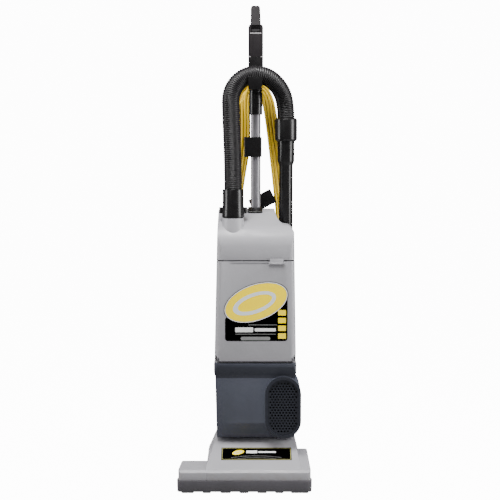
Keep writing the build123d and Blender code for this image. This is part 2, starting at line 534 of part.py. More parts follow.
def make_cord_storage():
    cleat = block((-5, 83), (80, 130), (641, 654)) + block((-12, 92), (125, 130), (602, 654))
    cleat += block((-8, 80), (80, 84), (610, 704))
    cleat += block((TUBE_X - 11, TUBE_X + 11), (80, 84), (700, HOOK_Z + 12))
    save("lower_cord_hook", cleat + rod_y(TUBE_X, (84, 91.5), HOOK_Z, 2.5))

    flag = block((-19.5, 19.5), (84.5, 91), (-12, 54))
    flag = fillet(flag.edges().filter_by(Axis.Y), 2) + block((-13, 13), (90, 120), (44, 50))
    flag = Pos(TUBE_X, 0, HOOK_Z) * Rot(0, HOOK_TILT, 0) * flag
    flag -= rod_y(TUBE_X, (80, 92), HOOK_Z, 2.5 + RUN)
    save("swivel_hook", flag)


# ---- hose, wand and cord -------------------------------------------------------------------
def corner_radii(points, label):
    radii = []
    for a, b, c in zip(points, points[1:], points[2:]):
        before, after = Vector(*b) - Vector(*a), Vector(*c) - Vector(*b)
        turn = before.get_angle(after)
        shorter = min(before.length, after.length)
        radii.append(0.45 * shorter / tan(radians(turn) / 2))
    print(label, "corner radii:", [round(r) for r in radii])
    return radii


def routed_tube(points, radius, label):
    path = FilletPolyline(*points, radius=corner_radii(points, label))
    tube = sweep(Plane(origin=path @ 0, z_dir=path % 0) * Circle(radius), path=path)
    print(label, "length", round(path.length), "volume ratio",
          round(tube.volume / (pi * radius ** 2 * path.length), 4))
    return tube


def make_hose_and_wand():
    save("hose", routed_tube(HOSE_ROUTE, HOSE_R, "hose"))
    cuff = rod_z(PORT_X, PORT_Y, (722, 760), 27.2) + rod_z(PORT_X, PORT_Y, (688, 694), 28.8)
    cuff += Pos(PORT_X, PORT_Y, 694) * Cone(28.8, 27.2, 28, align=(
        Align.CENTER, Align.CENTER, Align.MIN))
    cuff += rod_z(PORT_X, PORT_Y, (686, 700), 26)
    for side in (-1, 1):
        cuff += rod_z(PORT_X + side * 30, PORT_Y, (698, 714), 6.5)
    cuff -= rod_z(PORT_X, PORT_Y, (741, 770), HOSE_R + 0.1)
    cuff -= rod_z(PORT_X, PORT_Y, (680, 745), PORT_R - WALL)
    save("hose_cuff_lid", cuff)

    cuff = rod_z(WAND_X, WAND_Y, (884, 946), 29.5)
    cuff = chamfer(cuff.edges().filter_by(GeomType.CIRCLE), 5)
    cuff -= rod_z(WAND_X, WAND_Y, (930.5, 950), HOSE_R + 0.6)
    cuff -= rod_z(WAND_X, WAND_Y, (880, 935), WAND_TOP_R)
    save("hose_cuff_wand", cuff)

    wand = rod_z(WAND_X, WAND_Y, (832, 930), WAND_TOP_R)
    wand += rod_z(WAND_X, WAND_Y, (WAND_BOTTOM, 820), WAND_R)
    wand += Pos(WAND_X, WAND_Y, 820) * Cone(WAND_R, WAND_TOP_R, 12, align=(
        Align.CENTER, Align.CENTER, Align.MIN))
    wand -= rod_z(WAND_X, WAND_Y, (WAND_BOTTOM - 1, 940), WAND_R - 2)
    save("wand", wand)


def make_cord():
    half = COIL_BUNDLE / 2
    middle = fillet(make_face(Polyline(*COIL_LOOP, close=True)).vertices(), 6)
    ring = offset(middle, amount=half) - offset(middle, amount=-half)
    coil = extrude(Pos(0, COIL_Y[1], 0) * (Plane.XZ * ring), COIL_Y[1] - COIL_Y[0])
    save("cord_coil", coil)
    save("cord_tail", rod_z(PLUG_X, 108, (575, 625), CORD_R) - coil)
    plug = block((PLUG_X - 15, PLUG_X + 15), (97, 119), (522, 575))
    plug = fillet(plug.edges().filter_by(Axis.Z), 6)
    save("plug_body", plug)
    blades = [block((PLUG_X + s - 0.8, PLUG_X + s + 0.8), (105, 111.5), (504, 522))
              for s in (-6.35, 6.35)]
    save("plug_blades", *blades, rod_z(PLUG_X, 114, (501, 522), 2.4))


os.makedirs("parts", exist_ok=True)
make_head()
make_brush()
make_running_gear()
make_pedal()
make_motor_housing()
make_fan()
make_bag_housing()
make_lid()
make_duct()
make_handle()
make_cord_storage()
make_hose_and_wand()
make_cord()
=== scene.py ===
import bpy
import bmesh
import json
import random
from math import atan2, cos, pi, radians, sin, sqrt
from mathutils import Matrix, Vector, noise


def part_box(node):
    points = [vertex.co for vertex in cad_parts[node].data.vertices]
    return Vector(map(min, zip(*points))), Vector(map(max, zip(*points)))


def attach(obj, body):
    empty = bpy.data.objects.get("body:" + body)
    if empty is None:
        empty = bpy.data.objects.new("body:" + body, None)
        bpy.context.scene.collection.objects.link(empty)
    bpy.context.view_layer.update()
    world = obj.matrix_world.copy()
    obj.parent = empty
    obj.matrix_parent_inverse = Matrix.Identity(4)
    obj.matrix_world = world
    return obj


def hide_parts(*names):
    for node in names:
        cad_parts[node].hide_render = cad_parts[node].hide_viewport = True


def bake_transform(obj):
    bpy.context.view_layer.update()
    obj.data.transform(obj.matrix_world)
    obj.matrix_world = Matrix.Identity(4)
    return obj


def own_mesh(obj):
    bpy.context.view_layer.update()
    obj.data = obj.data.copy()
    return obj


# Looks of an upright vacuum cleaner, in metres: X to the right, -Y the front, Z up.
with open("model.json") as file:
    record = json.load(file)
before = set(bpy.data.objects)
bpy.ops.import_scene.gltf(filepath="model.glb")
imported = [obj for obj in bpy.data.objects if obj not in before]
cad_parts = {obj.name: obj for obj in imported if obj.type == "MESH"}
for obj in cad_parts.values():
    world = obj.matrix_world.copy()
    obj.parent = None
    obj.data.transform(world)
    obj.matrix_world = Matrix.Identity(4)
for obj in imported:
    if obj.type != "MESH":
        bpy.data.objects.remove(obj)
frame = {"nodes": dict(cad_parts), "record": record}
NODES = frame["nodes"]
RECORD = frame["record"]
BODIES = RECORD["behaviour"]["bodies"]
BODY_OF = {node: body for body, members in BODIES.items() for node in members}
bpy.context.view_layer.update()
rng = random.Random(7)
MM = 0.001

# Places shared by several pieces, in millimetres.
PORT_X, PORT_Y = -29.5, -30.0
WAND_X, WAND_Y = 109.5, 60.0
COIL_X, COIL_Y = 100, 108
AXLE_Y, AXLE_Z = 125, 40
BRUSH_Y, BRUSH_Z = -118, 26
SPRING_X, SPRING_Y = 55, 138
HANDLE_X = 29
BACK_Y = 80


# ---- materials -------------------------------------------------------------------------
def srgb(r, g, b):
    """Display colour, 0 to 255, as linear RGBA."""
    def linear(c):
        c /= 255
        return c / 12.92 if c <= 0.04045 else ((c + 0.055) / 1.055) ** 2.4
    return (linear(r), linear(g), linear(b), 1)


class Nodes:
    """A small helper that adds and joins shader nodes."""
    def __init__(self, name):
        self.mat = bpy.data.materials.new(name)
        self.mat.use_nodes = True
        self.tree = self.mat.node_tree
        self.shader = self.tree.nodes["Principled BSDF"]
        self.coords = self.add("ShaderNodeTexCoord").outputs["Object"]

    def add(self, kind, **values):
        node = self.tree.nodes.new(kind)
        for key, value in values.items():
            if hasattr(node, key):
                setattr(node, key, value)
            else:
                node.inputs[key.replace("_", " ")].default_value = value
        return node

    def join(self, output, target):
        self.tree.links.new(output, target)

    def noise(self, scale, detail=3.0, stretch=None):
        tex = self.add("ShaderNodeTexNoise", Scale=scale, Detail=detail)
        source = self.coords
        if stretch:
            mapping = self.add("ShaderNodeMapping", Scale=stretch)
            self.join(source, mapping.inputs["Vector"])
            source = mapping.outputs[0]
        self.join(source, tex.inputs["Vector"])
        return tex.outputs["Fac"]

    def remap(self, value, low, high, to_low=0.0, to_high=1.0):
        node = self.add("ShaderNodeMapRange")
        for key, number in (("From Min", low), ("From Max", high), ("To Min", to_low),
                            ("To Max", to_high)):
            node.inputs[key].default_value = number
        self.join(value, node.inputs["Value"])
        return node.outputs[0]

    def mix(self, factor, a, b):
        node = self.add("ShaderNodeMix", data_type="RGBA")
        self.join(factor, node.inputs[0])
        for value, socket in ((a, node.inputs[6]), (b, node.inputs[7])):
            if isinstance(value, tuple):
                socket.default_value = value
            else:
                self.join(value, socket)
        return node.outputs[2]

    def bump(self, height, strength, distance, previous=None):
        node = self.add("ShaderNodeBump", Strength=strength, Distance=distance)
        self.join(height, node.inputs["Height"])
        if previous is not None:
            self.join(previous, node.inputs["Normal"])
        return node.outputs[0]


def shade(colour, factor):
    return tuple(min(1.0, c * factor) for c in colour[:3]) + (1,)


def surface(name, colour, rough, vary=0.08, grain=1500.0, depth=0.00012, strength=0.35,
            spread=0.08, dirt=None, specular=None, sheen=0.0, metallic=0.0):
    """Moulded or painted finish: cloudy colour, speckled roughness and a fine grain.

    dirt is a colour and the height in metres up to which it lies on the piece.
    """
    n = Nodes(name)
    cloud = n.remap(n.noise(14.0, 5.0), 0.3, 0.7)
    base = n.mix(cloud, shade(colour, 1 - vary), shade(colour, 1 + vary))
    speck = n.remap(n.noise(420.0, 2.0), 0.42, 0.62)
    base = n.mix(n.remap(speck, 0, 1, 0.0, 0.25), base, shade(colour, 1 - 1.6 * vary))
    if dirt:
        separate = n.add("ShaderNodeSeparateXYZ")
        n.join(n.coords, separate.inputs[0])
        tint, height = dirt
        low = n.remap(separate.outputs[2], height, 0.0)
        patch = n.remap(n.noise(60.0, 6.0), 0.45, 0.75)
        both = n.add("ShaderNodeMath", operation="MULTIPLY")
        n.join(low, both.inputs[0])
        n.join(patch, both.inputs[1])
        base = n.mix(both.outputs[0], base, tint)
    n.join(base, n.shader.inputs["Base Color"])
    worn = n.remap(n.noise(45.0, 6.0), 0.35, 0.65, rough - spread, rough + spread)
    n.join(worn, n.shader.inputs["Roughness"])
    fine = n.bump(n.noise(grain, 3.0), strength, depth)
    scuffs = n.remap(n.noise(38.0, 8.0, (1.0, 1.0, 9.0)), 0.66, 0.74)
    n.join(n.bump(scuffs, 0.12, 0.0002, fine), n.shader.inputs["Normal"])
    n.shader.inputs["Metallic"].default_value = metallic
    if specular is not None:
        n.shader.inputs["Specular IOR Level"].default_value = specular
    n.shader.inputs["Sheen Weight"].default_value = sheen
    return n.mat


def banded(name, colour, axis, pitch, rough, depth, groove_shade=0.5, metallic=0.0):
    """A finish with fine ribs, threads or pleats along one axis, with painted shade darkening the
    grooves between them.
    """
    n = Nodes(name)
    wave = n.add("ShaderNodeTexWave", wave_type="BANDS", bands_direction=axis,
                 Scale=2 * pi / (20 * pitch), Distortion=1.2, Detail=2.0)
    n.join(n.coords, wave.inputs["Vector"])
    cloud = n.remap(n.noise(30.0, 4.0), 0.3, 0.7)
    base = n.mix(cloud, shade(colour, 0.9), shade(colour, 1.1))
    # Painted shade: the colour darkens towards the bottom of each groove of the ribs.
    base = n.mix(n.remap(wave.outputs["Fac"], 0, 1, 0.35, 0.0), base, shade(colour, groove_shade))
    n.join(base, n.shader.inputs["Base Color"])
    n.join(n.remap(cloud, 0, 1, rough - 0.06, rough + 0.06), n.shader.inputs["Roughness"])
    ribs = n.bump(wave.outputs["Fac"], 0.5, depth)
    n.join(n.bump(n.noise(1800.0, 2.0), 0.2, 0.0001, ribs), n.shader.inputs["Normal"])
    n.shader.inputs["Metallic"].default_value = metallic
    return n.mat


DUST = (srgb(132, 127, 118), 0.06)
MATERIALS = {
    "light_grey_plastic": surface("light_grey_plastic", srgb(150, 149, 153), 0.44, 0.035,
                                  strength=0.2, dirt=DUST),
    "dark_grey_plastic": surface("dark_grey_plastic", srgb(72, 75, 86), 0.5, 0.07,
                                 strength=0.3, specular=0.35),
    "black_plastic": surface("black_plastic", srgb(17, 16, 17), 0.27, 0.12, strength=0.12,
                             spread=0.05, specular=0.35),
    "handle_plastic": surface("handle_plastic", srgb(32, 29, 31), 0.56, 0.10, strength=0.6,
                              grain=900.0, depth=0.0003, specular=0.15),
    "switch_plastic": surface("switch_plastic", srgb(20, 18, 20), 0.6, 0.05, specular=0.1),
    "black_rubber": surface("black_rubber", srgb(74, 72, 76), 0.66, 0.10, strength=0.4,
                            specular=0.25),
    "tyre_rubber": surface("tyre_rubber", srgb(34, 34, 35), 0.78, 0.15, strength=0.5,
                           dirt=(srgb(96, 92, 86), 0.03)),
    "hose_plastic": surface("hose_plastic", srgb(19, 17, 19), 0.38, 0.12, strength=0.15,
                            specular=0.35),
    "tube_metal": surface("tube_metal", srgb(114, 112, 116), 0.38, 0.05, strength=0.12,
                          grain=700.0, metallic=0.3),
    "steel": banded("steel", srgb(190, 190, 192), "X", 0.0006, 0.28, 0.00003, 0.75, 1.0),
    "brass": banded("brass", srgb(214, 184, 116), "Z", 0.0008, 0.22, 0.00002, 0.8, 1.0),
    "bristle": banded("bristle", srgb(34, 33, 34), "Z", 0.002, 0.6, 0.0001),
    "brush_body": surface("brush_body", srgb(84, 86, 92), 0.4, 0.06),
    "filter_media": banded("filter_media", srgb(44, 44, 46), "Z", 0.004, 0.9, 0.0006),
    "cord_yellow": surface("cord_yellow", srgb(218, 181, 18), 0.42, 0.06, grain=900.0,
                           strength=0.2, sheen=0.05),
}


def paper():
    """Kraft-like filter paper with fibres and creases."""
    n = Nodes("bag_paper")
    fibre = n.noise(260.0, 8.0, (1.0, 1.0, 0.25))
    tint = n.remap(fibre, 0.35, 0.65)
    base = n.mix(tint, srgb(196, 178, 142), srgb(222, 208, 176))
    n.join(base, n.shader.inputs["Base Color"])
    n.join(n.remap(fibre, 0, 1, 0.75, 0.95), n.shader.inputs["Roughness"])
    crease = n.bump(n.noise(22.0, 6.0), 0.5, 0.003)
    n.join(n.bump(fibre, 0.4, 0.0003, crease), n.shader.inputs["Normal"])
    return n.mat


def film(name, colour, rough=0.4, specular=0.2):
    """Printed film: slightly mottled ink under a clear layer."""
    n = Nodes(name)
    ink = n.remap(n.noise(900.0, 2.0), 0.35, 0.65)
    n.join(n.mix(ink, shade(colour, 0.94), shade(colour, 1.05)), n.shader.inputs["Base Color"])
    n.join(n.remap(n.noise(70.0, 5.0), 0.3, 0.7, rough - 0.08, rough + 0.08),
           n.shader.inputs["Roughness"])
    n.join(n.bump(n.noise(160.0, 4.0), 0.05, 0.0002), n.shader.inputs["Normal"])
    n.shader.inputs["Specular IOR Level"].default_value = specular
    return n.mat


MATERIALS["bag_paper"] = paper()
MATERIALS["label_print"] = film("label_print", srgb(2, 2, 2), 0.6, 0.0)
YELLOW = film("label_yellow", srgb(255, 222, 0), 0.6, 0.03)
PALE = film("label_pale", srgb(206, 212, 214))
WHITE = film("label_white", srgb(232, 232, 230))
GREY = film("label_grey", srgb(120, 121, 120))
GOLD = film("label_gold", srgb(150, 146, 92))
# Pale colour for small strips on the grip: painted highlights on edges that catch the light.
PAINTED_HIGHLIGHT = surface("grip_painted_highlight", srgb(150, 147, 148), 0.4, 0.05)
SLOT_OF = {p["node"]: p["material_slot"] for p in RECORD["subparts"]}


# ---- mesh helpers ----------------------------------------------------------------------
def piece(name, mesh, body, slot, replaced=(), material=None, smooth=30.0):
    """Links a mesh as a piece that rides on a body."""
    obj = bpy.data.objects.new(name, mesh)
    bpy.context.scene.collection.objects.link(obj)
    mesh.materials.clear()
    mesh.materials.append(material or MATERIALS[slot])
    if smooth:
        mesh.shade_smooth()
        mesh.set_sharp_from_angle(angle=radians(smooth))
    if body:
        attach(obj, body)
    if replaced:
        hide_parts(*replaced)
    return obj


def to_mesh(bm, name):
    mesh = bpy.data.meshes.new(name)
    bmesh.ops.recalc_face_normals(bm, faces=bm.faces)
    bm.to_mesh(mesh)
    bm.free()
    return mesh


EDGE_SEGMENTS, SHARP = 3, 32.0


def moulded(node, width, second=None, joined=None):
    """The node's own shape with its sharp edges rounded, as moulding leaves them.

    joined is a node that meets this one at its highest x and becomes one mesh with it.
    second is a second material and the test that says which face centres take it.
    """
    bm = bmesh.new()
    bm.from_mesh(NODES[node].data)
    if joined:
        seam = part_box(node)[1][0]
        bm.from_mesh(NODES[joined].data)
        inner = [f for f in bm.faces if all(abs(v.co.x - seam) < 1e-5 for v in f.verts)]
        bmesh.ops.delete(bm, geom=inner, context="FACES")
    bmesh.ops.remove_doubles(bm, verts=bm.verts, dist=2e-5)
    bmesh.ops.dissolve_limit(bm, angle_limit=radians(1.0), verts=bm.verts, edges=bm.edges,
                             use_dissolve_boundaries=False)
    edges = [e for e in bm.edges if len(e.link_faces) == 2
             and e.calc_face_angle(0) > radians(SHARP)]
    bmesh.ops.bevel(bm, geom=edges, offset=width * MM, segments=EDGE_SEGMENTS, profile=0.5,
                    affect="EDGES", clamp_overlap=True)
    bmesh.ops.triangulate(bm, faces=[f for f in bm.faces if len(f.verts) > 4])
    obj = piece(node + "_moulded", to_mesh(bm, node), BODY_OF[node], SLOT_OF[node],
                (node, joined) if joined else (node,))
    if second:
        material, takes_it = second
        obj.data.materials.append(material)
        for face in obj.data.polygons:
            if takes_it(face.center):
                face.material_index = 1
    return obj


def lathe(bm, centre, axis, profile, steps=48, closed=False):
    """Adds a turned shape: profile is (along, radius) pairs in millimetres."""
    axis = Vector(axis).normalized()
    side = axis.orthogonal().normalized()
    other = axis.cross(side)
    centre = Vector(centre) * MM
    rings = []
    for along, radius in profile:
        ring = []
        for k in range(steps):
            a = 2 * pi * k / steps
            point = centre + (axis * along + (side * cos(a) + other * sin(a)) * radius) * MM
            ring.append(bm.verts.new(point))
        rings.append(ring)
    following = rings[1:] + rings[:1] if closed else rings[1:]
    for low, high in zip(rings, following):
        for k in range(steps):
            m = (k + 1) % steps
            bm.faces.new((low[k], low[m], high[m], high[k]))
    if not closed:
        for ring in (rings[0], rings[-1]):
            bm.faces.new(ring)


def plate(bm, outline_points, thickness, place):
    """Adds a thin flat shape from a 2-D outline in millimetres."""
    top = [bm.verts.new(place @ Vector((x * MM, y * MM, thickness * MM)))
           for x, y in outline_points]
    bottom = [bm.verts.new(place @ Vector((x * MM, y * MM, 0))) for x, y in outline_points]
    bm.faces.new(top)
    bm.faces.new(bottom[::-1])
    for k in range(len(top)):
        m = (k + 1) % len(top)
        bm.faces.new((top[k], bottom[k], bottom[m], top[m]))


def ring_plate(bm, outer, inner, thickness, place):
    """A flat ring between two outlines of the same number of points."""
    levels = [[bm.verts.new(place @ Vector((x * MM, y * MM, h * MM))) for x, y in line]
              for line, h in ((outer, 0), (outer, thickness), (inner, thickness), (inner, 0))]
    levels.append(levels[0])
    for a, b in zip(levels, levels[1:]):
        for k in range(len(outer)):
            m = (k + 1) % len(outer)
            bm.faces.new((a[k], a[m], b[m], b[k]))


def oval(cx, cy, rx, ry, tilt=0.0, steps=96):
    """The outline of an ellipse turned by tilt degrees."""
    t = radians(tilt)
    return [(cx + rx * cos(a) * cos(t) - ry * sin(a) * sin(t),
             cy + rx * cos(a) * sin(t) + ry * sin(a) * cos(t))
            for a in (2 * pi * k / steps for k in range(steps))]


def rounded(x0, y0, x1, y1, r, steps=6):
    """The outline of a rectangle with round corners."""
    points = []
    for cx, cy, a0 in ((x1 - r, y1 - r, 0), (x0 + r, y1 - r, 90), (x0 + r, y0 + r, 180),
                       (x1 - r, y0 + r, 270)):
        for k in range(steps + 1):
            a = radians(a0 + 90 * k / steps)
            points.append((cx + r * cos(a), cy + r * sin(a)))
    return points


INK = 0.12                     # thickness of printed shapes
FIRST, OVER = 0.02, 0.16       # lift of the first layer of print and of the layer over it


def graphic(name, shapes, place, body, material, lift=FIRST):
    """Printed shapes lying on a label, each a filled outline or an (outer, inner) pair."""
    bm = bmesh.new()
    raised = place @ Matrix.Translation((0, 0, lift * MM))
    for shape in shapes:
        if isinstance(shape, tuple):
            ring_plate(bm, shape[0], shape[1], INK, raised)
        else:
            plate(bm, shape, INK, raised)
    return piece(name, to_mesh(bm, name), body, "label_print", (), material, 0)


# ---- cords first: hose and mains lead -----------------------------------------------------
def nurbs(name, points):
    """An open NURBS curve with these control points, in metres."""
    curve = bpy.data.curves.new(name, "CURVE")
    curve.dimensions = "3D"
    spline = curve.splines.new("NURBS")
    spline.points.add(len(points) - 1)
    for knot, point in zip(spline.points, points):
        knot.co = (*point, 1)
    spline.order_u = 3
    spline.use_endpoint_u = True
    spline.resolution_u = 24
    obj = bpy.data.objects.new(name, curve)
    bpy.context.scene.collection.objects.link(obj)
    return obj


def read_line(curve_obj):
    """The points of a curve's own smooth line."""
    bpy.context.view_layer.update()
    mesh = bpy.data.meshes.new_from_object(curve_obj)
    line = [v.co.copy() for v in mesh.vertices]
    bpy.data.meshes.remove(mesh)
    return line


def even(line, step):
    """The same line with points at even distances."""
    total = [0.0]
    for a, b in zip(line, line[1:]):
        total.append(total[-1] + (b - a).length)
    count = max(2, round(total[-1] / step))
    points, i = [], 0
    for k in range(count + 1):
        s = total[-1] * k / count
        while i < len(line) - 2 and total[i + 1] < s:
            i += 1
        t = (s - total[i]) / max(total[i + 1] - total[i], 1e-9)
        points.append(line[i].lerp(line[i + 1], min(max(t, 0), 1)))
    return points


def tube(bm, line, radius_at, steps):
    """Sweeps a circle along a line; radius_at gives each ring's radius."""
    ahead = (line[1] - line[0]).normalized()
    side = ahead.orthogonal().normalized()
    rings = []
    for k, point in enumerate(line):
        new = (line[min(k + 1, len(line) - 1)] - line[max(k - 1, 0)]).normalized()
        side = (ahead.rotation_difference(new) @ side).normalized()
        side = (side - new * side.dot(new)).normalized()
        ahead = new
        other = ahead.cross(side)
        radius = radius_at(k)
        rings.append([bm.verts.new(point + (side * cos(a) + other * sin(a)) * radius)
                      for a in (2 * pi * j / steps for j in range(steps))])
    for low, high in zip(rings, rings[1:]):
        for j in range(steps):
            m = (j + 1) % steps
            bm.faces.new((low[j], low[m], high[m], high[j]))
    bm.faces.new(rings[0][::-1])
    bm.faces.new(rings[-1])


HOSE_ROUTE = [
    (PORT_X, PORT_Y, 741), (PORT_X, PORT_Y, 800), (-32, -28, 880), (-35, -21, 955),
    (-36, -9, 1015), (3, 4, 1055.5), (58, 16, 1055.5), (99, 43, 1017),
    (WAND_X, WAND_Y, 967), (WAND_X, WAND_Y, 931),
]
HOSE_R, RIB_DEPTH, RIB_PITCH, HOSE_SIDES = 23.5, 1.7, 5.0, 40
RIB = (0.0, 0.3, 0.95, 1.0, 0.95, 0.3)        # height of the rib through one pitch


def make_hose():
    """The corrugated hose, which bends between the lid's port and the wand."""
    route = [Vector(p) * MM for p in HOSE_ROUTE]
    guide = nurbs("hose_guide", route)
    line = even(read_line(guide), RIB_PITCH * MM / len(RIB))
    bpy.data.objects.remove(guide)
    bm = bmesh.new()
    tube(bm, line, lambda k: (HOSE_R - RIB_DEPTH * (1 - RIB[k % len(RIB)])) * MM, HOSE_SIDES)
    hose = piece("hose_corrugated", to_mesh(bm, "hose"), None, "hose_plastic", ("hose",),
                 smooth=60.0)
    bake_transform(hose)


COIL_LOOP = [
    (11, 1026), (43, 1026), (59, 1006), (69, 962), (84, 835), (98, 715), (103, 655), (97, 627),
    (78, 618), (2, 618), (-17, 625), (-25, 652), (-26, 712), (-17, 780), (-3, 860), (-1, 930),
    (-4, 1000),
]
COIL_MIDDLE = (35.0, 825.0)
TURNS, ROWS, TURN_PITCH = 16, 4, 7.7
SLACK, WOBBLE = 1.6, 0.5          # how far whole turns and single points stray
HOOK_Z, HELD = 1000, 0.3          # above this height the hook holds the turns closer
CORD_LENGTH, CORD_R = 15.0, 4.0
RELIEF_END = (46.5, COIL_Y, 1045.2)
PLUG_TOP = (COIL_X, COIL_Y, 576)


def make_cord():
    """The lead, wound in turns that lie beside and behind each other in the loop."""
    points = [RELIEF_END, (50, COIL_Y, 1040)]
    centre = (ROWS - 1) / 2
    for turn in range(TURNS):
        column, row = divmod(turn, ROWS)
        row = row if column % 2 == 0 else ROWS - 1 - row
        slack = rng.uniform(-SLACK, SLACK)
        for k, (x, z) in enumerate(COIL_LOOP):
            if turn == 0 and k < 2:
                continue
            before = COIL_LOOP[k - 1]
            after = COIL_LOOP[(k + 1) % len(COIL_LOOP)]
            tx, tz = after[0] - before[0], after[1] - before[1]
            size = sqrt(tx * tx + tz * tz)
            out = (-tz / size, tx / size)
            if out[0] * (x - COIL_MIDDLE[0]) + out[1] * (z - COIL_MIDDLE[1]) < 0:
                out = (-out[0], -out[1])
            offset = (column - centre) * TURN_PITCH + slack * (HELD if z > HOOK_Z else 1.0)
            offset += rng.uniform(-WOBBLE, WOBBLE)
            depth = (row - centre) * TURN_PITCH + rng.uniform(-WOBBLE, WOBBLE)
            points.append((x + out[0] * offset, COIL_Y + depth, z + out[1] * offset))
    points += [(x + 12, COIL_Y, z) for x, z in COIL_LOOP[2:6]]
    points += [(101, COIL_Y, 655), (COIL_X, COIL_Y, 618), PLUG_TOP]
    cord = nurbs("cord_wound", [Vector(p) * MM for p in points])
    cord.data.bevel_depth = CORD_R * MM
    cord.data.bevel_resolution = 3
    cord.data.splines[0].resolution_u = 6
    cord.data.use_fill_caps = True
    cord.data.materials.append(MATERIALS["cord_yellow"])
    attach(cord, "upright")
    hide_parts("cord_coil", "cord_tail")
    return cord


make_hose()
lead = make_cord()

# ---- CAD nodes with rounded mouldings --------------------------------------------------------
BAND = surface("housing_band", srgb(49, 51, 59), 0.55, 0.07, strength=0.3, specular=0.2)
COVER = surface("filter_cover_web", srgb(32, 34, 42), 0.5, 0.07, strength=0.2, specular=0.3)
BAND_Z = 0.2765                # lower edge of the darker band round the motor housing
for node, width in (("lid", 3.0), ("base_cover", 5.0), ("bag_door", 1.2), ("bag_housing", 1.2),
                    ("bumper", 3.0), ("base_chassis", 1.0), ("tube_clamp", 1.2),
                    ("hose_hook", 1.2), ("upper_cord_hook", 1.2), ("lower_cord_hook", 1.2),
                    ("swivel_hook", 1.0), ("hose_cuff_lid", 1.0), ("hose_cuff_wand", 1.4),
                    ("release_pedal", 1.2), ("door_latch", 0.5), ("power_switch", 0.7),
                    ("tube_collar", 1.2), ("plug_body", 2.0), ("handle_sleeve", 0.6),
                    ("wand", 0.8), ("strain_relief", 0.4)):
    moulded(node, width)
moulded("grip_left", 2.0, joined="grip_right")
for part in ("front", "rear"):
    moulded(f"motor_housing_{part}", 2.0, second=(BAND, lambda at: at.z > BAND_Z))


# ---- pieces that replace plain CAD shapes -----------------------------------------------------
def make_bellows():
    """The folded duct."""
    low, high, outer, inner = 92, 128, 18.0, 14.4
    folds, fold_pitch, fold_r = 7, 4.4, 15.4
    profile = [(low, outer), (low + 2, outer)]
    for k in range(folds):
        profile += [(95.5 + fold_pitch * k, fold_r), (97.7 + fold_pitch * k, outer)]
    profile += [(high, outer), (high, inner), (low, inner)]
    bm = bmesh.new()
    lathe(bm, (WAND_X, WAND_Y, 0), (0, 0, 1), profile, closed=True)
    bellows = piece("duct_bellows_folds", to_mesh(bm, "bellows"), None, "black_rubber",
                    ("duct_bellows",), smooth=50.0)
    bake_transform(bellows)


def make_spring():
    """The wire spring under the release pedal."""
    steps, turns, low, high = 20, 8, 12.5, 61.5
    coil_r, wire_r = 6, 0.9
    line = [Vector((SPRING_X + coil_r * cos(2 * pi * k / steps),
                    SPRING_Y + coil_r * sin(2 * pi * k / steps),
                    low + (high - low) * k / (steps * turns))) * MM
            for k in range(steps * turns + 1)]
    bm = bmesh.new()
    tube(bm, line, lambda k: wire_r * MM, 10)
    spring = piece("pedal_spring_wire", to_mesh(bm, "spring"), "base", "steel",
                   ("pedal_spring",), smooth=60.0)
    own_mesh(spring)


def make_tyres():
    """Rear tyres with rounded shoulders and three grooves."""
    rim_r, tyre_r, groove_r = 32, 40, 38.4
    profile = [(0, rim_r), (0, 37.5), (0.8, 39.2), (2, tyre_r)]
    for groove in (4.6, 8.9, 13.2):
        profile += [(groove, tyre_r), (groove + 0.4, groove_r), (groove + 1.8, groove_r),
                    (groove + 2.2, tyre_r)]
    profile += [(18, tyre_r), (19.2, 39.2), (20, 37.5), (20, rim_r)]
    for side, low in (("left", -72.0), ("right", 99.0)):
        bm = bmesh.new()
        lathe(bm, (low, AXLE_Y, AXLE_Z), (1, 0, 0), profile, 96, closed=True)
        piece(f"tyre_tread_{side}", to_mesh(bm, "tyre"), f"wheel_{side}", "tyre_rubber",
              (f"rear_tyre_{side}",), smooth=40.0)


def make_bristles():
    """Tufts of separate filaments, fanned out a little at their tips."""
    tufts, hairs, first_x, tuft_pitch, core_r = 24, 18, -132, 11.13, 11
    foot_r, tip_r, shortest, longest = 1.6, 2.5, 11.6, 12.8
    bm = bmesh.new()
    hub = Vector((0, BRUSH_Y, BRUSH_Z))
    for row in range(2):
        for i in range(tufts):
            a = radians(180 * row + 15 * i)
            out, across = Vector((0, -sin(a), cos(a))), Vector((0, cos(a), sin(a)))
            root = hub + Vector((first_x + tuft_pitch * i, 0, 0)) + out * core_r
            for _ in range(hairs):
                u, v = rng.uniform(-1, 1), rng.uniform(-1, 1)
                foot = root + Vector((foot_r * u, 0, 0)) + across * foot_r * v
                tip = root + Vector((tip_r * u, 0, 0)) + across * tip_r * v
                tip += out * rng.uniform(shortest, longest)
                rings = []
                for middle, r in ((foot, 0.42), (foot.lerp(tip, 0.6), 0.4), (tip, 0.28)):
                    rings.append([bm.verts.new((middle + Vector((r * cos(b), 0, 0))
                                                + across * r * sin(b)) * MM)
                                  for b in (pi / 2 * k for k in range(4))])
                for low, high in zip(rings, rings[1:]):
                    for k in range(4):
                        m = (k + 1) % 4
                        bm.faces.new((low[k], low[m], high[m], high[k]))
                bm.faces.new(rings[0])
                bm.faces.new(rings[-1])
    piece("brush_tufts", to_mesh(bm, "tufts"), "brush", "bristle", ("brush_bristles",),
          smooth=60.0)


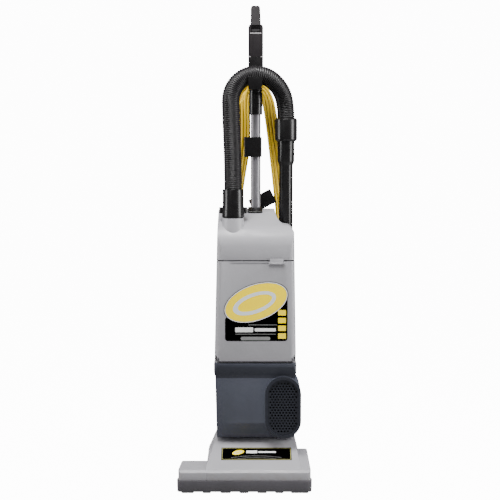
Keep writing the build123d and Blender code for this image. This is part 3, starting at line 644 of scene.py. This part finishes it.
def make_bag():
    """A filled paper bag: slack at the top, full below, with folded-in sides."""
    voxel, gusset_depth = 0.005, 5.0
    copy = bpy.data.objects.new("bag_source", NODES["filter_bag"].data.copy())
    bpy.context.scene.collection.objects.link(copy)
    remesh = copy.modifiers.new("remesh", "REMESH")
    remesh.mode, remesh.voxel_size = "VOXEL", voxel
    graph = bpy.context.evaluated_depsgraph_get()
    mesh = bpy.data.meshes.new_from_object(copy.evaluated_get(graph))
    bpy.data.objects.remove(copy)
    bm = bmesh.new()
    bm.from_mesh(mesh)
    bmesh.ops.smooth_vert(bm, verts=bm.verts, factor=0.5, use_axis_x=True, use_axis_y=True,
                          use_axis_z=True)
    bm.normal_update()
    low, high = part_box("filter_bag")
    for v in bm.verts:
        t = (v.co.z - low[2]) / (high[2] - low[2])
        crease = noise.noise(v.co * 26) + 0.5 * noise.noise(v.co * 60)
        gusset = gusset_depth * max(0, 1 - (v.co.y / 0.02) ** 2) * abs(v.normal.x)
        slack = 1.2 + 3.5 * t ** 2 + 1.6 * abs(crease) + gusset * t
        v.co -= v.normal * slack * MM
    bag = piece("filter_bag_paper", to_mesh(bm, "bag"), "upright", "bag_paper",
                ("filter_bag",), smooth=80.0)
    soft = bag.modifiers.new("smooth", "SUBSURF")
    soft.levels = soft.render_levels = 1


def make_screws():
    """Pan-head screws with a cross slot in the back of the casings."""
    spots = [(-60, 140), (68, 140), (-62, 296), (68, 296), (-58, 336), (68, 336), (-60, 560),
             (68, 560)]
    head_r, head = 3.9, 1.8
    slot = rounded(-1.9, -0.35, 1.9, 0.35, 0.2, 2)
    bm = bmesh.new()
    for x, z in spots:
        lathe(bm, (x, BACK_Y, z), (0, 1, 0),
              [(-0.5, head_r), (0.3, head_r), (1.2, 3.2), (head, 1.4)], 28)
        for a in (0, pi / 2):
            place = (Matrix.Translation(Vector((x, BACK_Y + head, z)) * MM)
                     @ Matrix.Rotation(a, 4, "Y") @ Matrix.Rotation(-pi / 2, 4, "X"))
            plate(bm, slot, INK, place)
    piece("case_screws", to_mesh(bm, "screws"), "upright", "steel", (), smooth=40.0)


def make_grip_highlights():
    """The pale ledge under the switch and the two tips of the grip's lower edge: raised strips
    whose pale colour is a painted highlight along edges that catch the light.
    """
    grip_front, seam_z = 0.0411, 1104
    tip = ((12.5, 0.6), (17.6, 2.4), (18.6, 0.8), (17.4, -0.4), (14.0, -0.6))
    place = Matrix.Translation((0, grip_front, 0)) @ Matrix.Rotation(pi / 2, 4, "X")
    bm = bmesh.new()
    plate(bm, rounded(14, 1163.6, 44, 1166.6, 1.2), 0.9, place)
    for side in (-1, 1):
        outline = [(HANDLE_X + side * u, seam_z + w) for u, w in tip]
        plate(bm, outline[::side], 0.4, place)
    piece("grip_painted_highlights", to_mesh(bm, "painted_highlight_strips"), "upright", "handle_plastic", (), PAINTED_HIGHLIGHT, 20.0)


for make in (make_bellows, make_spring, make_tyres, make_bristles, make_bag, make_screws,
             make_grip_highlights):
    make()

for node, obj in NODES.items():
    if not obj.hide_render:
        for held in obj.material_slots:
            held.material = COVER if node == "filter_cover" else MATERIALS[SLOT_OF[node]]

# ---- labels ------------------------------------------------------------------------------------
FACE = Matrix.Translation((0, -0.08060, 0)) @ Matrix.Rotation(pi / 2, 4, "X")
OVAL = (29.5, 472.5)           # middle of the oval on the door, x and z
LEAN = 20                      # degrees the ovals lean
DECK_RISE, DECK_RUN = 48, 105  # slope of the deck under its label


def arc(cx, cy, r, start, end, width, steps=24):
    """A thin curved stroke."""
    angles = [radians(start + (end - start) * k / steps) for k in range(steps + 1)]
    return ([(cx + (r + width / 2) * cos(a), cy + (r + width / 2) * sin(a)) for a in angles]
            + [(cx + (r - width / 2) * cos(a), cy + (r - width / 2) * sin(a))
               for a in reversed(angles)])


def make_labels():
    """Plain shapes in the places of the marks: ovals, rings, bars, lines and blocks."""
    cx, cz = OVAL
    graphic("label_outline", [(oval(cx, cz, 84.0, 46.0, LEAN), oval(cx, cz, 82.2, 44.2, LEAN))],
            FACE, "door", WHITE)
    graphic("label_oval", [oval(cx, cz, 81.6, 43.6, LEAN)], FACE, "door", YELLOW)
    graphic("label_ring", [(oval(cx - 4, cz - 2, 58, 26, LEAN),
                            oval(cx - 3, cz - 1.5, 46, 17, LEAN))], FACE, "door", PALE, OVER)
    bars = [rounded(-24, 396, 22, 408, 1.5), rounded(26, 398, 80, 406, 1.5)]
    graphic("label_bars", bars, FACE, "door", WHITE)
    graphic("label_lines", [rounded(10, 414, 84, 415.4, 0.5), rounded(-24, 390, 80, 391.4, 0.5),
                            rounded(-10, 375, 66, 384, 4)], FACE, "door", GREY)
    blocks = [rounded(86, z, 106, z + 14, 1.2) for z in (379, 399, 419, 439)]
    graphic("label_blocks", blocks, FACE, "door", YELLOW)

    height = 57 + 56 * DECK_RISE / DECK_RUN
    deck = (Matrix.Translation((0.0305, -0.099, height * MM))
            @ Matrix.Rotation(atan2(DECK_RISE, DECK_RUN), 4, "X")
            @ Matrix.Translation((0, 0, 0.62 * MM)))
    graphic("deck_label_outline", [(rounded(-88.5, -22.5, 88.5, 22.5, 3),
                                    rounded(-87.2, -21.2, 87.2, 21.2, 2.4))],
            deck, "base", GOLD)
    graphic("deck_label_arcs", [arc(0, -276, 268, 76, 104, 0.9), arc(0, -276, 261, 79, 101, 0.7)],
            deck, "base", GREY)
    graphic("deck_label_oval", [oval(-47, 5, 16, 8.5, LEAN)], deck, "base", YELLOW)
    graphic("deck_label_ring", [(oval(-47.5, 4.7, 11, 5, LEAN),
                                 oval(-47.3, 4.8, 8.6, 3.2, LEAN))], deck, "base", PALE, OVER)
    graphic("deck_label_bars", [rounded(-26, 2, 2, 12, 1.2), rounded(5, 3.5, 50, 9.5, 1.2)],
            deck, "base", WHITE)


def make_seam():
    """The lid's lip over the middle of the door's top edge."""
    bm = bmesh.new()
    plate(bm, rounded(-36, 574.6, 61, 577.6, 1.2), 0.5, FACE)
    piece("door_top_lip", to_mesh(bm, "lip"), "door", "light_grey_plastic", (), None, 20.0)


make_seam()
make_labels()

# ---- stage, light and camera -------------------------------------------------------------------
STAGE_HALF = 9
# Heights of the floor along y. It is flat under the object and rises far behind the place where
# a camera would stand to see the back. Close rows keep it flat when it is smoothed.
SWEEP = [(-9.0, 0.0), (-2.0, 0.0), (0.5, 0.0), (1.0, 0.0), (1.3, 0.0), (4.6, 0.0),
         (5.6, 0.08), (6.2, 0.45), (6.5, 1.2), (6.6, 7.0)]
GLOW, AMBIENT = 13.0, 0.2      # brightness the camera sees, and the light the room really gives


def make_stage():
    """A pale floor that looks evenly white to the camera, and sends out no light of its own."""
    bm = bmesh.new()
    rows = [[bm.verts.new((x, y, z)) for x in (-STAGE_HALF, STAGE_HALF)] for y, z in SWEEP]
    for a, b in zip(rows, rows[1:]):
        bm.faces.new((a[0], a[1], b[1], b[0]))
    mesh = bpy.data.meshes.new("stage_floor")
    bm.to_mesh(mesh)
    bm.free()
    obj = bpy.data.objects.new("stage_floor", mesh)
    bpy.context.scene.collection.objects.link(obj)
    mesh.shade_smooth()
    n = Nodes("stage_paper")
    n.join(n.mix(n.noise(8.0), srgb(150, 150, 150), srgb(156, 156, 156)),
           n.shader.inputs["Base Color"])
    n.shader.inputs["Roughness"].default_value = 0.9
    n.shader.inputs["Specular IOR Level"].default_value = 0.1
    n.shader.inputs["Emission Color"].default_value = (1, 1, 1, 1)
    seen = n.add("ShaderNodeLightPath").outputs["Is Camera Ray"]
    n.join(n.remap(seen, 0, 1, 0.0, GLOW), n.shader.inputs["Emission Strength"])
    mesh.materials.append(n.mat)
    smooth = obj.modifiers.new("smooth", "SUBSURF")
    smooth.levels = smooth.render_levels = 3


def area(name, place, target, size, watts):
    """A soft rectangular lamp aimed at a point."""
    light = bpy.data.lights.new(name, "AREA")
    light.shape = "RECTANGLE"
    light.size, light.size_y = size
    light.energy = watts
    obj = bpy.data.objects.new(name, light)
    bpy.context.scene.collection.objects.link(obj)
    obj.location = place
    obj.rotation_euler = (Vector(target) - Vector(place)).to_track_quat("-Z", "Y").to_euler()


make_stage()
area("light_top", (-0.2, -0.8, 2.6), (0, 0, 0.5), (1.4, 0.8), 105)
area("light_front", (-1.5, -2.6, 1.5), (0, 0, 0.6), (0.8, 0.8), 2)
area("light_right", (1.5, -0.45, 1.0), (0.03, 0, 0.7), (0.6, 1.8), 42)
area("light_left", (-2.0, -0.35, 1.2), (0.03, 0, 0.6), (0.5, 1.8), 36)
world = bpy.data.worlds.new("studio")
world.use_nodes = True
tree = world.node_tree
tree.nodes["Background"].inputs["Color"].default_value = (1, 1, 1, 1)
camera_ray = tree.nodes.new("ShaderNodeLightPath").outputs["Is Camera Ray"]
glow = tree.nodes.new("ShaderNodeMapRange")
glow.inputs["To Min"].default_value = AMBIENT
glow.inputs["To Max"].default_value = GLOW
tree.links.new(camera_ray, glow.inputs["Value"])
tree.links.new(glow.outputs["Result"], tree.nodes["Background"].inputs["Strength"])
bpy.context.scene.world = world

LENS, SENSOR, LOOKS_DOWN = 77.24, 36, 5.1
camera = bpy.data.cameras.new("camera")
camera.lens = LENS
camera.sensor_width = SENSOR
eye = bpy.data.objects.new("camera", camera)
bpy.context.scene.collection.objects.link(eye)
eye.location = (0.014, -2.8, 0.85)
eye.rotation_euler = (radians(90 - LOOKS_DOWN), 0, 0)
bpy.context.scene.camera = eye
